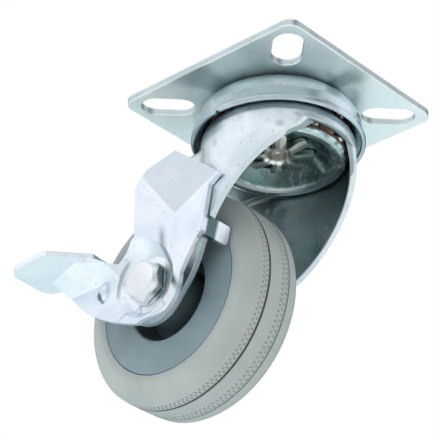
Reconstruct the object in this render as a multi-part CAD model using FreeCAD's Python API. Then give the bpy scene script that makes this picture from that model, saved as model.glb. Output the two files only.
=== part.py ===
"""Swivel castor with a side brake: plate mounted, pressed steel fork, grey rubber wheel.

Millimetres. The origin is on the swivel axis at the plate's top face, +Z is up, the plate's
sides lie along X and Y, the wheel trails towards -X and the brake is on the -Y side.
"""
import FreeCAD, Part
import math
import os

V = FreeCAD.Vector
UP = V(0, 0, 1)
ACROSS = V(0, 1, 0)

# Mounting plate
plate_side = 73.0
plate_thickness = 2.5
plate_corner_radius = 4.0
plate_edge_break = 0.3
slot_width = 10.0
slot_length = 18.0
slot_circle_radius = 36.5
# Race ring under the plate
ring_sheet = 2.0
ring_race_radius = 5.5
ring_contact_angle = 60.0
ring_waist_radius = 27.0
ring_waist_depth = 12.2
ring_lip_radius = 28.8
ring_lip_width = 1.6
ring_depth = 15.8
# Balls of the double race
ball_diameter = 6.0
ball_gap = 0.05
ball_spacing = 0.35
upper_ball_circle = 21.3
lower_contact_angle = 12.0
# Fork
fork_sheet = 2.2
fork_head_radius = 25.6
fork_shoulder_radius = 7.2
fork_lip_depth = 19.5
fork_step_depth = 22.6
fork_web_depth = 17.5
fork_front_reach = 21.2
fork_knee_ahead = 26.6
fork_knee_rise = 9.7
fork_shin_ahead = 22.6
fork_shin_rise = 6.7
fork_rear_x = -30.5
fork_rear_z = -20.0
leg_outer_width = 37.0
leg_blend_radius = 20.0
leg_end_radius = 13.0
web_corner_radius = 4.5
# Lower cup
cup_sheet = 2.0
cup_slope = 35.0
cup_floor_radius = 12.2
cup_lip_angle = 74.0
# Kingpin
pin_radius = 6.0
pin_bore_radius = 4.0
pin_head_radius = 9.5
pin_head_sink = 0.2
pin_hole_gap = 0.05
pin_swivel_gap = 0.4
petal_count = 8
petal_reach = 12.0
petal_height = 2.6
petal_sheet = 1.5
petal_tip_radius = 1.9
petal_slot_width = 1.3
petal_root_reach = 4.9
# Wheel
trail = 36.6
wheel_diameter = 75.0
overall_height = 100.7
tyre_width = 25.4
tread_rib_half = 4.35
tread_groove_width = 0.7
tread_groove_depth = 1.3
tread_flat_half = 8.0
rim_radius = 27.7
rim_half_width = 12.2
rim_channel_depth = 3.0
rim_channel_half = 8.0
recess_radius = 16.7
recess_floor_radius = 13.5
web_half_width = 4.0
hub_radius = 10.0
hub_end_gap = 0.4
hub_bore_gap = 0.05
# Axle
sleeve_radius = 6.0
sleeve_bore_gap = 0.1
bolt_radius = 4.0
bolt_head_flats = 13.0
bolt_head_height = 4.0
bolt_head_chamfer = 1.2
bolt_hole_gap = 0.1
bolt_overhang = 0.6
nut_height = 6.5
nut_collar_height = 1.8
nut_collar_radius = 5.9
nut_lip = 0.35
nut_bore_gap = 0.02
nut_washer_radius = 8.5
nut_washer_thickness = 1.5
spring_washer_radius = 7.4
spring_washer_sheet = 0.6
spring_washer_rise = 0.4
# Brake lever
lever_sheet = 1.8
lever_gap = 0.1
lever_bush_gap = 0.05
lever_seat_radius = 9.8
dent_ahead = 12.6
dent_rise = 20.7
dent_stand = 4.7
arm_stand = 4.4
arm_edge_behind = 2.4
arm_edge_rise = 5.2
tab_width = 6.4
tab_tip_gap = 0.7
tab_radius = 28.8
tab_angle = 22.0
tab_tilt = 75.0
tab_root_slope = 0.21
tab_root_ahead = 27.6
brake_travel = 25.0
notch_gap = 0.5
pedal_length = 19.5
lever_reach = 100.0
pedal_bend_radius = 2.4
stop_lug_length = 7.0
stop_lug_rise = 2.0
stop_lug_behind = 18.5
stop_lug_above = 2.2

# Values worked out from the sizes above
ball_radius = ball_diameter / 2
ball_room = ball_radius + ball_gap
axle_z = -(overall_height - wheel_diameter / 2)
axle_at = V(-trail, 0, axle_z)
leg_outer = leg_outer_width / 2
leg_inner = leg_outer - fork_sheet
arm_face = leg_outer + arm_stand
dent = V(dent_ahead - trail, -leg_outer - dent_stand, axle_z + dent_rise)
tyre_radius = wheel_diameter / 2
tyre_half = tyre_width / 2
ring_centre_z = -(plate_thickness + ring_sheet + ring_race_radius)
ring_reach = ring_race_radius - ball_room
ring_centre_r = upper_ball_circle - ring_reach * math.cos(math.radians(ring_contact_angle))
upper_ball_z = ring_centre_z + ring_reach * math.sin(math.radians(ring_contact_angle))
shoulder_r = fork_head_radius - fork_shoulder_radius
upper_reach = fork_shoulder_radius + ball_room
shoulder_z = upper_ball_z - math.sqrt(upper_reach ** 2 - (upper_ball_circle - shoulder_r) ** 2)
head_top_z = shoulder_z + fork_shoulder_radius
lower_reach = fork_shoulder_radius - fork_sheet - ball_room
lower_ball_circle = shoulder_r + lower_reach * math.cos(math.radians(lower_contact_angle))
lower_ball_z = shoulder_z + lower_reach * math.sin(math.radians(lower_contact_angle))
seat_face = leg_outer + lever_gap
collar_end = seat_face + lever_sheet + lever_gap
head_seat = collar_end + spring_washer_sheet + spring_washer_rise
nut_seat = leg_outer + nut_washer_thickness


def outline(start, *steps):
    """A closed wire in the XZ plane.

    A step is a point, a middle and an end for an arc, or a list for a curve.
    """
    def place(point):
        return V(point[0], 0, point[1])

    edges = []
    here = start
    for step in steps:
        if isinstance(step, list):
            curve = Part.BSplineCurve()
            curve.interpolate([place(point) for point in [here] + step])
            edges.append(curve.toShape())
            here = step[-1]
        elif isinstance(step[0], tuple):
            edges.append(Part.Arc(place(here), place(step[0]), place(step[1])).toShape())
            here = step[1]
        else:
            edges.append(Part.LineSegment(place(here), place(step)).toShape())
            here = step
    if math.dist(here, start) > 1e-6:
        edges.append(Part.LineSegment(place(here), place(start)).toShape())
    return Part.Wire(edges)


def turned(start, *steps):
    """A solid turned about the swivel axis from an outline of radius and height."""
    return Part.Face(outline(start, *steps)).revolve(V(0, 0, 0), UP, 360)


def on_axle(shape):
    """Moves a shape that was turned about Z onto the axle, with its top towards +Y."""
    shape.rotate(V(0, 0, 0), V(1, 0, 0), -90)
    shape.translate(axle_at)
    return shape


def slab(wire, low, high):
    """The prism over an XZ outline from y = low to y = high."""
    solid = Part.Face(wire).extrude(V(0, high - low, 0))
    solid.translate(V(0, low, 0))
    return solid


def arc_point(centre, radius, degrees):
    """The point on a circle at an angle from the first axis."""
    angle = math.radians(degrees)
    return (centre[0] + radius * math.cos(angle), centre[1] + radius * math.sin(angle))


def tangent_angle(centre, radius, point, side):
    """The angle on a circle where the line from an outside point touches it."""
    away = math.atan2(point[1] - centre[1], point[0] - centre[0])
    spread = math.acos(radius / math.dist(centre, point))
    return math.degrees(away + side * spread)


def hexagon(flats, height):
    """A hexagonal prism standing on z = 0 with its top corners turned off."""
    corner = flats / math.sqrt(3)
    points = [V(*arc_point((0, 0), corner, 60 * i + 30), 0) for i in range(7)]
    prism = Part.Face(Part.makePolygon(points)).extrude(V(0, 0, height))
    face = flats / 2 - bolt_head_chamfer / 2
    cap = Part.makeCone(corner + height, face, height + flats / 2, V(0, 0, -flats / 2))
    return prism.common(cap)


def make_top_plate():
    """The flat mounting plate, with a slot on each diagonal and a countersunk middle."""
    half = plate_side / 2
    plate = Part.makeBox(plate_side, plate_side, plate_thickness, V(-half, -half, -plate_thickness))
    corners = [e for e in plate.Edges if abs(e.Vertexes[0].Z - e.Vertexes[-1].Z) > plate_thickness / 2]
    plate = plate.makeFillet(plate_corner_radius, corners)
    rims = [e for e in plate.Edges if abs(e.Vertexes[0].Z - e.Vertexes[-1].Z) < plate_thickness / 2]
    plate = plate.makeFillet(plate_edge_break, rims)
    end = (slot_length - slot_width) / 2
    deep = 3 * plate_thickness
    for quarter in range(4):
        slot = Part.makeBox(2 * end, slot_width, deep)
        slot.translate(V(-end, -slot_width / 2, -2 * plate_thickness))
        for way in (-end, end):
            slot = slot.fuse(Part.makeCylinder(slot_width / 2, deep, V(way, 0, -2 * plate_thickness)))
        slot.translate(V(slot_circle_radius, 0, 0))
        slot.rotate(V(0, 0, 0), UP, 45 + 90 * quarter)
        plate = plate.cut(slot)
    wide = pin_head_radius + pin_hole_gap
    narrow = pin_radius + pin_hole_gap
    sink = turned((0, 0.01), (wide, 0.01), (wide, -pin_head_sink), (narrow, -plate_thickness),
                  (0, -plate_thickness - 0.01))
    return plate.cut(sink)


def make_race_ring():
    """The pressed skirt: its shoulder is the upper ball race and its lip hangs round the fork head."""
    outer = ring_race_radius + ring_sheet
    centre = (ring_centre_r, ring_centre_z)
    hole = pin_radius + pin_hole_gap
    lip_inner = ring_lip_radius - ring_lip_width
    waist_in = ring_waist_radius - ring_sheet
    half_lip = ring_lip_width / 2
    return turned(
        (hole, -plate_thickness), (ring_centre_r, -plate_thickness),
        (arc_point(centre, outer, 45), arc_point(centre, outer, 0)),
        (ring_waist_radius, -ring_waist_depth),
        ((ring_waist_radius + 0.15, -ring_waist_depth - 0.7),
         (ring_lip_radius - 0.7, -ring_waist_depth - 1.3)),
        ((ring_lip_radius - 0.2, -ring_waist_depth - 1.6), (ring_lip_radius, -ring_waist_depth - 2.1)),
        (ring_lip_radius, -ring_depth + half_lip),
        ((ring_lip_radius - half_lip, -ring_depth), (lip_inner, -ring_depth + half_lip)),
        (lip_inner, -ring_waist_depth - 2.4), (waist_in, -ring_waist_depth - 0.9),
        arc_point(centre, ring_race_radius, 0),
        (arc_point(centre, ring_race_radius, 45), arc_point(centre, ring_race_radius, 90)),
        (hole, -plate_thickness - ring_sheet))


def make_balls(circle_radius, height):
    """A full row of loose balls, as many as the circle holds."""
    count = int(2 * math.pi * circle_radius / (ball_diameter + ball_spacing))
    balls = []
    for index in range(count):
        ball = Part.makeSphere(ball_radius, V(circle_radius, 0, height))
        ball.rotate(V(0, 0, 0), UP, 360 * index / count)
        balls.append(ball)
    return Part.makeCompound(balls)


def head_section(inset, bottom):
    """The turned body of the fork head, its surface moved in by an inset, down to a height."""
    radius = fork_shoulder_radius - inset
    centre = (shoulder_r, shoulder_z)
    return turned((0, shoulder_z + radius), (shoulder_r, shoulder_z + radius),
                  (arc_point(centre, radius, 45), arc_point(centre, radius, 0)),
                  (shoulder_r + radius, bottom), (0, bottom))


def leg_section(inset, top):
    """The upright body whose sides are the legs: round in front, necked in towards the axle."""
    nose = fork_head_radius - inset
    side = leg_outer - inset
    blend = leg_blend_radius + inset
    neck_x = -math.sqrt((nose + blend) ** 2 - (side + blend) ** 2)
    share = nose / (nose + blend)
    leave = (neck_x * share, (side + blend) * share)
    toward = math.degrees(math.atan2(-side - blend, -neck_x))
    middle = arc_point((neck_x, side + blend), blend, toward / 2 - 45)
    tail = -trail - 2 * leg_end_radius

    def edge(points, sign):
        places = [V(p[0], sign * p[1], 0) for p in points]
        if len(places) == 3:
            return Part.Arc(*places).toShape()
        return Part.LineSegment(*places).toShape()

    pieces = [Part.Arc(V(leave[0], -leave[1], 0), V(nose, 0, 0), V(leave[0], leave[1], 0)).toShape()]
    for sign in (1, -1):
        pieces.append(edge([leave, middle, (neck_x, side)], sign))
        pieces.append(edge([(neck_x, side), (tail, side)], sign))
    pieces.append(Part.LineSegment(V(tail, side, 0), V(tail, -side, 0)).toShape())
    wire = Part.Wire(Part.__sortEdges__(pieces))
    body = Part.Face(wire).extrude(V(0, 0, 2 * axle_z))
    rim = [e for e in body.Edges if all(abs(v.Z) < 1e-6 for v in e.Vertexes) and e.CenterOfMass.x > tail + 1]
    body = body.makeFillet(web_corner_radius - inset, rim)
    body.translate(V(0, 0, top))
    return body


def fork_side_view():
    """The fork as seen along the axle: head, sloping front edge, rounded leg end, rear edge."""
    axle = (-trail, axle_z)
    knee = (fork_knee_ahead - trail, axle_z + fork_knee_rise)
    shin = (fork_shin_ahead - trail, axle_z + fork_shin_rise)
    rear = (fork_rear_x, fork_rear_z)
    front_end = tangent_angle(axle, leg_end_radius, shin, -1)
    rear_end = tangent_angle(axle, leg_end_radius, rear, 1)
    reach = fork_head_radius + 1
    return outline(
        (reach, 0), (reach, -fork_lip_depth), (fork_front_reach + 0.8, -fork_lip_depth),
        (fork_front_reach - 0.6, -fork_step_depth), knee, shin,
        arc_point(axle, leg_end_radius, front_end),
        (arc_point(axle, leg_end_radius, (front_end + rear_end - 360) / 2),
         arc_point(axle, leg_end_radius, rear_end)),
        rear, (fork_rear_x, 0))


def tab_notch():
    """The curved slot in the near leg's front edge that the brake tab sweeps along."""
    half = tab_width / 2 * math.cos(math.radians(tab_tilt - tab_angle)) + lever_sheet / 2 + notch_gap
    start = tab_angle - 24
    stop = tab_angle + brake_travel + math.degrees((tab_width / 2 + notch_gap) / tab_radius)
    axle = (-trail, axle_z)
    inner = tab_radius - half
    outer = tab_radius + half
    middle = (start + stop) / 2
    shape = outline(
        arc_point(axle, inner, start), arc_point(axle, outer, start),
        (arc_point(axle, outer, middle), arc_point(axle, outer, stop)),
        (arc_point(axle, tab_radius, stop + 5), arc_point(axle, inner, stop)),
        (arc_point(axle, inner, middle), arc_point(axle, inner, start)))
    return slab(shape, -fork_head_radius - 1, -leg_inner / 2)


def make_fork():
    """One pressing: a domed head with the ball race in its corner, and two legs that neck in to the axle."""
    outer = head_section(0, -fork_step_depth).fuse(leg_section(0, -fork_web_depth))
    under_web = leg_section(fork_sheet, -fork_web_depth - fork_sheet)
    inner = head_section(fork_sheet, -fork_step_depth - 1).fuse(under_web)
    blank = outer.cut(inner)
    fork = blank.common(slab(fork_side_view(), -fork_head_radius - 1, fork_head_radius + 1))
    swivel_hole = Part.makeCylinder(pin_radius + pin_swivel_gap, 20, V(0, 0, head_top_z - 10))
    bore = bolt_radius + bolt_hole_gap
    axle_hole = on_axle(Part.makeCylinder(bore, leg_outer_width + 2, V(0, 0, -leg_outer - 1)))
    return fork.cut(swivel_hole).cut(axle_hole).cut(tab_notch())


def make_lower_cup():
    """The pressed cup that carries the lower balls: raised floor, sloping race, curled rim."""
    slope = math.radians(cup_slope)
    half = cup_sheet / 2
    reach = ball_room + half
    ball = (lower_ball_circle, lower_ball_z)
    start = -90 - cup_slope
    race = arc_point(ball, reach, start)
    floor_z = race[1] + (race[0] - cup_floor_radius) * math.tan(slope)

    def groove(offset):
        middle = (start - cup_lip_angle) / 2
        return [arc_point(ball, reach + offset, angle) for angle in (start, middle, -cup_lip_angle)]

    def knee(offset):
        shift = offset * math.tan(slope / 2)
        return (cup_floor_radius - shift, floor_z - offset)

    low = groove(half)
    high = groove(-half)
    edge = arc_point(ball, reach, -cup_lip_angle)
    tip = arc_point(edge, half, 90 - cup_lip_angle)
    hole = pin_radius + pin_hole_gap
    return turned(
        (hole, floor_z - half), knee(half), low[0], (low[1], low[2]), (tip, high[2]), (high[1], high[0]),
        knee(-half), (hole, floor_z + half))


def cup_floor_bottom():
    """The height of the underside of the lower cup's floor."""
    slope = math.radians(cup_slope)
    reach = ball_room + cup_sheet / 2
    race_r = lower_ball_circle - reach * math.sin(slope)
    race_z = lower_ball_z - reach * math.cos(slope)
    return race_z + (race_r - cup_floor_radius) * math.tan(slope) - cup_sheet / 2


def make_petals(floor):
    """The rivet's split end, turned outwards under the cup: one flare, slotted into rounded fingers."""
    low = floor - petal_height
    back = floor + 0.05
    crown = pin_radius + 0.6
    flare = turned(
        (pin_bore_radius, floor + 1), (pin_bore_radius, low + 1.3),
        ((pin_bore_radius + 0.6, low + 0.3), (crown - 0.7, low)), (crown + 0.9, low + 0.15),
        (petal_reach - 0.9, back - petal_sheet - 0.5),
        ((petal_reach - 0.1, back - petal_sheet), (petal_reach, back - 0.7)),
        (petal_reach - 0.6, back - 0.35), (pin_radius, back - 0.35), (pin_radius, floor + 1))
    flower = Part.makeCylinder(pin_radius + 1, 4 * petal_height, V(0, 0, low - 1))
    lobe_at = petal_reach - petal_tip_radius
    tall = 4 * petal_height
    half = petal_slot_width / 2
    slots = []
    for index in range(petal_count):
        lobe = Part.makeCylinder(petal_tip_radius, tall, V(lobe_at, 0, low - 1))
        bridge = Part.makeBox(lobe_at, 2 * petal_tip_radius, tall, V(0, -petal_tip_radius, low - 1))
        finger = lobe.fuse(bridge)
        finger.rotate(V(0, 0, 0), UP, 360 * index / petal_count)
        flower = flower.fuse(finger)
        points = [V(petal_root_reach, -half / 2, low - 1), V(petal_reach + 1, -2 * half, low - 1),
                  V(petal_reach + 1, 2 * half, low - 1), V(petal_root_reach, half / 2, low - 1)]
        slot = Part.Face(Part.makePolygon(points + [points[0]])).extrude(V(0, 0, petal_height + 1 - 0.35))
        slot.rotate(V(0, 0, 0), UP, 360 * (index + 0.5) / petal_count)
        slots.append(slot)
    return flare.common(flower).cut(slots)


def make_kingpin():
    """The hollow rivet through the head, its lower end split and turned out in petals over the cup."""
    floor = cup_floor_bottom()
    head_gap = pin_head_sink
    shank = turned(
        (pin_bore_radius, -head_gap - 1.2), (pin_head_radius - 2, -head_gap), (pin_head_radius, -head_gap),
        (pin_radius, -plate_thickness), (pin_radius, floor + 0.5), (pin_bore_radius, floor + 0.5))
    return shank.fuse(make_petals(floor)).removeSplitter()


def make_tyre():
    """The moulded grey tyre: three tread ribs between two grooves, and full round shoulders."""
    first = tread_rib_half
    second = tread_rib_half + tread_groove_width
    crown = tyre_radius - 0.05
    bottom = tyre_radius - tread_groove_depth
    channel = rim_radius - rim_channel_depth
    shoulder = [
        (tyre_radius - 0.3, tyre_half - 5.2), (tyre_radius - 1.2, tyre_half - 3.3),
        (tyre_radius - 2.9, tyre_half - 1.7), (tyre_radius - 5.0, tyre_half - 0.5),
        (tyre_radius - 7.2, tyre_half), (tyre_radius - 9.0, tyre_half - 0.4), (rim_radius, rim_half_width)]
    flat = (crown, tread_flat_half - 1.5)

    def mirrored(points):
        return [(r, -y) for r, y in points]

    slope = tread_groove_width / 3
    groove = [(crown, first), (bottom, first + slope), (bottom, second - slope), (crown, second)]
    back = mirrored(shoulder)[-2::-1] + mirrored([flat])
    return on_axle(turned(
        groove[3], flat, shoulder, (rim_radius, rim_channel_half + 1.5), (channel, rim_channel_half),
        (channel, -rim_channel_half), (rim_radius, -rim_channel_half - 1.5), (rim_radius, -rim_half_width),
        back,
        *mirrored(groove)[::-1], ((tyre_radius, 0), groove[0]), *groove[1:3]))


def make_wheel_centre():
    """The moulded wheel centre: rim with a channel for the tyre, dished web and long hub."""
    channel = rim_radius - rim_channel_depth
    hub_half = leg_inner - hub_end_gap
    bore = sleeve_radius + hub_bore_gap
    face = rim_half_width

    def half(sign):
        return [
            (hub_radius - 1.2, sign * hub_half), (hub_radius, sign * (hub_half - 1.2)),
            (hub_radius + 0.6, sign * web_half_width),
            (recess_floor_radius, sign * web_half_width), (recess_radius - 0.8, sign * (face - 0.8))]

    def lip(sign):
        return (recess_radius - 0.55, sign * (face - 0.25))

    steps = half(1) + [(lip(1), (recess_radius, face))]
    steps += [(rim_radius, face), (rim_radius, rim_channel_half + 1.5), (channel, rim_channel_half)]
    steps += [(channel, -rim_channel_half), (rim_radius, -rim_channel_half - 1.5), (rim_radius, -face)]
    steps += [(recess_radius, -face), (lip(-1), half(-1)[4])]
    steps += half(-1)[:4][::-1] + [(bore, -hub_half)]
    return on_axle(turned((bore, hub_half), *steps))


def tube(outer, bore, low, high):
    """A plain tube on the axle from y = low to y = high."""
    pipe = Part.makeCylinder(outer, high - low, V(0, 0, low))
    return on_axle(pipe.cut(Part.makeCylinder(bore, high - low + 2, V(0, 0, low - 1))))


def make_axle_sleeve():
    """The steel tube that the legs clamp and the hub turns on."""
    return tube(sleeve_radius, bolt_radius + sleeve_bore_gap, -leg_inner, leg_inner)


def make_pivot_collar():
    """The short collar between the leg and the bolt head that the lever turns on."""
    return tube(sleeve_radius, bolt_radius + bolt_hole_gap, -collar_end, -leg_outer)


def make_spring_washer():
    """The coned washer under the bolt head that keeps the lever where it is put."""
    bore = bolt_radius + bolt_hole_gap
    low = collar_end
    high = head_seat
    under = high - spring_washer_sheet
    washer = turned(
        (bore, under), (bore + 1.2, under), (spring_washer_radius, low),
        (spring_washer_radius, low + spring_washer_sheet), (bore + 1.2, high), (bore, high))
    washer.rotate(V(0, 0, 0), V(1, 0, 0), 180)
    return on_axle(washer)


def make_axle_bolt():
    """The hexagon head bolt, its head outside the lever and its thread end in the lock nut."""
    head = hexagon(bolt_head_flats, bolt_head_height)
    head.rotate(V(0, 0, 0), V(1, 0, 0), 180)
    head.translate(V(0, 0, -head_seat))
    end = nut_seat + nut_height + nut_collar_height + bolt_overhang
    shank = Part.makeCylinder(bolt_radius, end + head_seat, V(0, 0, -head_seat))
    return on_axle(head.fuse(shank).removeSplitter())


def make_nut_washer():
    """The flat washer under the lock nut."""
    return tube(nut_washer_radius, bolt_radius + bolt_hole_gap, leg_outer, nut_seat)


def make_axle_nut():
    """The hexagon lock nut with the thin collar that holds its ring."""
    body = hexagon(bolt_head_flats, nut_height)
    top = nut_height + nut_collar_height
    collar = Part.makeCylinder(nut_collar_radius, nut_collar_height, V(0, 0, nut_height))
    bore = Part.makeCylinder(bolt_radius + nut_bore_gap, top + 2, V(0, 0, -1))
    pocket = Part.makeCylinder(nut_collar_radius - nut_lip, nut_collar_height + 1, V(0, 0, nut_height))
    nut = body.fuse(collar).cut(bore).cut(pocket)
    nut.translate(V(0, 0, nut_seat))
    return on_axle(nut)


def make_nut_ring():
    """The nylon ring that locks the nut on the thread."""
    low = nut_seat + nut_height
    return tube(nut_collar_radius - nut_lip, bolt_radius + nut_bore_gap, low, low + nut_collar_height - 0.2)


def half_space(slope_x, slope_z):
    """All that lies on the wheel's side of a plane through the lever's dent, with slopes in x and z."""
    reach = lever_reach
    points = []
    for x, z in ((-reach, -reach), (reach, -reach), (reach, reach), (-reach, reach)):
        points.append(dent + V(x, slope_x * x + slope_z * z, z))
    return Part.Face(Part.makePolygon(points + [points[0]])).extrude(V(0, lever_reach, 0))


def frustum(near, far, near_y, far_y):
    """A solid between two rectangles, each x low, z low, x high, z high, at two values of y."""
    rings = []
    for box, y in ((near, near_y), (far, far_y)):
        rings.append([V(box[0], y, box[1]), V(box[2], y, box[1]), V(box[2], y, box[3]), V(box[0], y, box[3])])
    low, high = rings
    faces = [Part.Face(Part.makePolygon(ring + [ring[0]])) for ring in rings]
    for here in range(4):
        after = (here + 1) % 4
        faces.append(Part.Face(Part.makePolygon([low[here], low[after], high[after], high[here], low[here]])))
    return Part.Solid(Part.Shell(faces))


def lever_blank():
    """The lever's outer form as a block: three faces that meet at the dent, and the sunk seat and arm."""
    block = half_space(-tab_root_slope, 0).fuse(half_space(-0.145, -0.30)).fuse(half_space(0.20, -0.05))
    face = -(seat_face + lever_sheet)
    deep = 12.0
    reach = lever_reach
    seat = Part.makeCone(lever_seat_radius + deep, lever_seat_radius, deep, V(0, 0, 0), ACROSS)
    seat.translate(V(-trail, face - deep, axle_z))
    edge_x = -trail - arm_edge_behind
    edge_z = axle_z + arm_edge_rise
    arm = frustum((edge_x - reach - deep, edge_z - reach - deep, edge_x + deep, edge_z + deep),
                  (edge_x - reach, edge_z - reach, edge_x, edge_z), -arm_face - deep, -arm_face)
    floor = Part.makeBox(3 * reach, reach, 3 * reach, V(-1.5 * reach, face, -2 * reach))
    room = Part.makeBox(3 * reach, reach, 3 * reach, V(-1.5 * reach, 0.4 * reach - reach, -2 * reach))
    return block.cut(seat.fuse(arm)).common(room).fuse(floor)


def by_axle(ahead, above):
    """The XZ point at a distance ahead of the axle and above it."""
    return (ahead - trail, axle_z + above)


def pedal_fold():
    """The two ends of the line along which the pedal folds out of the arm."""
    return by_axle(-38.2, 10.7), by_axle(-20.1, 13.4)


def lever_outline():
    """The lever as seen along the axle, up to the pedal's fold."""
    fold_low, fold_high = pedal_fold()
    top = [by_axle(3.1, 38.7), by_axle(18.1, 39.2), by_axle(36.0, 25.0)]
    front = [by_axle(30.8, 22.8), by_axle(28.6, 13.8), by_axle(27.7, 7.8)]
    front += [by_axle(24.6, 6.6), by_axle(21.6, 3.6), by_axle(16.6, -2.0)]
    foot = [(by_axle(15.7, -6.0), by_axle(13.1, -10.2)), (by_axle(8.1, -13.0), by_axle(2.1, -13.7))]
    arm = [by_axle(-1.4, -14.5), (by_axle(-13.8, -10.0), by_axle(-23.9, -4.4))]
    arm += [(by_axle(-31.8, 3.1), fold_low)]
    back = [fold_high, (by_axle(-16.4, 11.6), by_axle(-13.4, 9.8)), by_axle(-10.6, 9.4)]
    back += [by_axle(-2.6, 16.2), by_axle(-2.2, 30.2), (by_axle(-0.8, 36.0), top[0])]
    return outline(*top, *front, *foot, *arm, *back)


def make_tab():
    """The finger bent in from the lever's front edge, past the leg, to the side of the tyre."""
    tip = -(tyre_half + tab_tip_gap)
    root = dent.y - tab_root_slope * (tab_root_ahead - dent_ahead)
    tilt = math.radians(tab_tilt)
    centre = arc_point((-trail, axle_z), tab_radius, tab_angle)
    along = (math.cos(tilt), math.sin(tilt))
    normal = (math.sin(tilt), -math.cos(tilt))
    half = tab_width / 2
    depth = lever_sheet / 2
    corners = []
    for across, out in ((-half, -depth), (half, -depth), (half, depth), (-half, depth)):
        corners.append(tuple(centre[k] + along[k] * across + normal[k] * out for k in (0, 1)))
    bar = slab(outline(*corners), root, tip)
    ends = [e for e in bar.Edges if abs(e.Length - lever_sheet) < 1e-3 and e.CenterOfMass.y > tip - 0.01]
    return bar.makeFillet(1.4, ends)


def make_pedal():
    """The foot pedal: the arm's end folded out square, wider than its fold."""
    low, high = (V(x, -arm_face, z) for x, z in pedal_fold())
    along = (high - low).normalize()
    up = V(-along.z, 0, along.x)
    out = V(0, -1, 0)
    shape = [(0, -pedal_bend_radius), (-5.0, 0.5), (-6.0, 3.5), (-5.6, pedal_length - 2.7)]
    shape += [(-2.7, pedal_length), (9.8, pedal_length - 1.1), (19.0, 4.6), (18.3, -pedal_bend_radius)]
    points = [low + along * u + out * v for u, v in shape]
    blade = Part.Face(Part.makePolygon(points + [points[0]])).extrude(up * lever_sheet)
    corners = [e for e in blade.Edges if abs(e.Length - lever_sheet) < 1e-3 and e.CenterOfMass.y < low.y - 15]
    return blade.makeFillet(1.6, corners)


def make_stop_lug():
    """The lug half pierced out of the arm beside the bolt."""
    face = -arm_face
    lug = Part.makeSphere(stop_lug_length / 2)
    stretch = FreeCAD.Matrix()
    stretch.scale(0.62, stop_lug_rise / (stop_lug_length / 2), 1.0)
    lug = lug.transformGeometry(stretch)
    lug.rotate(V(0, 0, 0), ACROSS, 25)
    x, z = by_axle(-stop_lug_behind, stop_lug_above)
    lug.translate(V(x, face, z))
    near = 2 * stop_lug_length
    return lug.common(Part.makeBox(2 * near, near, 2 * near, V(x - near, face + 0.5 - near, z - near)))


def make_brake_lever():
    """One pressing: the formed side plate, the arm and pedal, and the tab that enters the notch."""
    block = lever_blank()
    under = block.copy()
    under.translate(V(0, lever_sheet, 0))
    sheet = block.cut(under).common(slab(lever_outline(), -60, -leg_outer))
    bore = on_axle(Part.makeCylinder(sleeve_radius + lever_bush_gap, 60, V(0, 0, -60)))
    return sheet.fuse([make_tab(), make_pedal(), make_stop_lug()]).cut(bore).removeSplitter()


os.makedirs("parts", exist_ok=True)
pieces = {
    "top_plate": make_top_plate(),
    "race_ring": make_race_ring(),
    "upper_balls": make_balls(upper_ball_circle, upper_ball_z),
    "lower_balls": make_balls(lower_ball_circle, lower_ball_z),
    "lower_cup": make_lower_cup(),
    "kingpin": make_kingpin(),
    "fork": make_fork(),
    "tyre": make_tyre(),
    "wheel_centre": make_wheel_centre(),
    "axle_sleeve": make_axle_sleeve(),
    "axle_bolt": make_axle_bolt(),
    "nut_washer": make_nut_washer(),
    "axle_nut": make_axle_nut(),
    "nut_ring": make_nut_ring(),
    "pivot_collar": make_pivot_collar(),
    "spring_washer": make_spring_washer(),
    "brake_lever": make_brake_lever(),
}
for name, shape in pieces.items():
    shape.exportStep("parts/" + name + ".step")
    print(name, len(shape.Solids), round(shape.Volume, 1), shape.isValid(), shape.BoundBox)
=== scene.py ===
# %% [markdown]
# A swivel castor with a side brake, dressed for a studio photograph.
# The castor's metal and plastic bodies come from the CAD model, already in place and in metres.
# This lesson gives each of them its finish, models the tyre again with its fine tread cells, adds
# the grease that CAD leaves out, and sets up the camera, the lamps and the floor.

# %% Frame
import math
import bmesh
import bpy
from mathutils import Matrix, Vector


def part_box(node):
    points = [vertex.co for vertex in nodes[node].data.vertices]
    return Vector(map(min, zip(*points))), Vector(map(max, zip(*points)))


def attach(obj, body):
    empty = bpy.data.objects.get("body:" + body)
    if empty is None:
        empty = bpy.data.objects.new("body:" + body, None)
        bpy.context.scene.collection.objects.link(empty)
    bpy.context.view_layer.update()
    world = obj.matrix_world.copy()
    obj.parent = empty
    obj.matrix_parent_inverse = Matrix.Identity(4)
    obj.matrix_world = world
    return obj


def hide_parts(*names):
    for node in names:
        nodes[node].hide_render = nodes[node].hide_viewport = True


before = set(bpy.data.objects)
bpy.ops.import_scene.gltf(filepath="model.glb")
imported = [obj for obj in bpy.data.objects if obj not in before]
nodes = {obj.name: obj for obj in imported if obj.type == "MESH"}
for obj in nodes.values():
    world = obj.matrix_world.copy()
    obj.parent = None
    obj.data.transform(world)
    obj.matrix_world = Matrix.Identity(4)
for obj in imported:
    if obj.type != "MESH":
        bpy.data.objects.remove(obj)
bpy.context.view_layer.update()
MM = 0.001

# %% [markdown]
# The axle and the wheel's size are read from the boxes of the CAD solids, so that what is
# modelled here sits exactly where the real pieces are.

# %% Places taken from the solids
tyre_low, tyre_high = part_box("tyre")
cup_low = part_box("lower_cup")[0]
axle = (Vector(tyre_low) + Vector(tyre_high)) / 2
wheel_radius = (tyre_high[2] - tyre_low[2]) / 2
tyre_half = (tyre_high[1] - tyre_low[1]) / 2
print("axle at", [round(v / MM, 2) for v in axle], "wheel radius", round(wheel_radius / MM, 2))

# %% [markdown]
# Shader arithmetic reads best as ordinary sums. A small class wraps a socket, and each operator
# adds the Math node that does it. Every other node comes from one method, which sets the node's
# own settings first and then feeds its inputs.

# %% Shader arithmetic


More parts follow.
